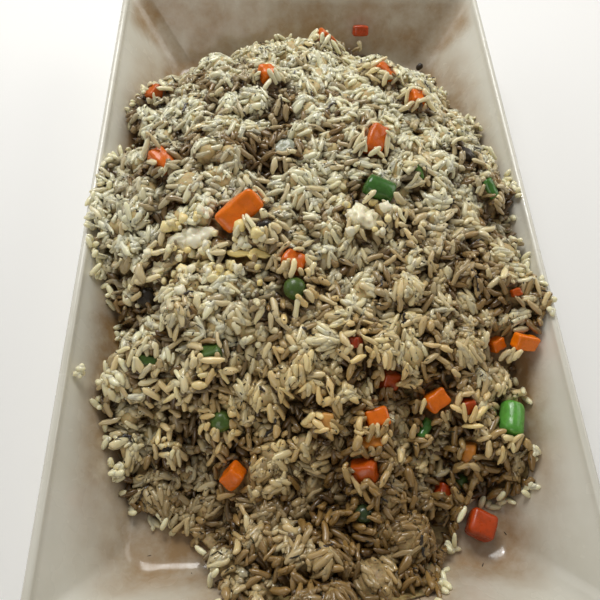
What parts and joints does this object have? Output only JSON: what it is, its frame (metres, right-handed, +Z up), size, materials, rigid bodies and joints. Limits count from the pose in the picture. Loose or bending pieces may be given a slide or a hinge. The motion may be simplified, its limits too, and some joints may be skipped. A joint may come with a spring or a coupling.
{
  "type": "fried rice plate",
  "caption": "Long white rectangular dish with sloping walls, heaped with fried rice, diced carrot, peas, bean cuts and egg.",
  "frame": {"origin": "on the table, under the middle of the dish", "axes": "+X across the dish to the viewer's right, +Y along its length to the far end, +Z up"},
  "size_m": [0.21, 0.344, 0.0741],
  "materials": {
    "carrot": "cooked carrot, slightly wet",
    "dish": "glossy white glaze",
    "egg": "soft cooked egg",
    "green_bean": "cooked bean, shiny skin",
    "green_sliver": "cooked greens",
    "mushroom": "dark wet mushroom",
    "onion": "soft translucent onion",
    "pea": "cooked pea, smooth skin",
    "rice": "moist cooked rice with a thin film of oil",
    "stray_bean": "dark wet bean",
    "stray_carrot": "cooked carrot, slightly wet",
    "stray_grain": "moist cooked rice",
    "stray_rice": "moist cooked rice",
    "yellow_carrot": "cooked yellow carrot, slightly wet"
  },
  "bodies": {
    "root": {"carrot_1": "carrot", "carrot_10": "carrot", "carrot_11": "carrot", "carrot_12": "carrot", "carrot_13": "carrot", "carrot_14": "carrot", "carrot_15": "carrot", "carrot_16": "carrot", "carrot_17": "carrot", "carrot_18": "carrot", "carrot_19": "carrot", "carrot_2": "carrot", "carrot_20": "carrot", "carrot_3": "carrot", "carrot_4": "carrot", "carrot_5": "carrot", "carrot_6": "carrot", "carrot_7": "carrot", "carrot_8": "carrot", "carrot_9": "carrot", "dish": "dish", "egg_1": "egg", "egg_2": "egg", "egg_3": "egg", "egg_4": "egg", "egg_5": "egg", "green_bean_1": "green_bean", "green_bean_2": "green_bean", "green_bean_3": "green_bean", "green_bean_4": "green_bean", "green_sliver_1": "green_sliver", "green_sliver_2": "green_sliver", "green_sliver_3": "green_sliver", "mushroom_1": "mushroom", "mushroom_2": "mushroom", "mushroom_3": "mushroom", "mushroom_4": "mushroom", "mushroom_5": "mushroom", "onion_1": "onion", "pea_1": "pea", "pea_2": "pea", "pea_3": "pea", "pea_4": "pea", "pea_5": "pea", "rice_heap": "rice", "stray_bean_1": "stray_bean", "stray_carrot_1": "stray_carrot", "stray_carrot_2": "stray_carrot", "stray_grain_1": "stray_grain", "stray_rice_1": "stray_rice", "stray_rice_2": "stray_rice", "yellow_carrot_1": "yellow_carrot", "yellow_carrot_2": "yellow_carrot", "yellow_carrot_3": "yellow_carrot"}
  },
  "joints": []
}
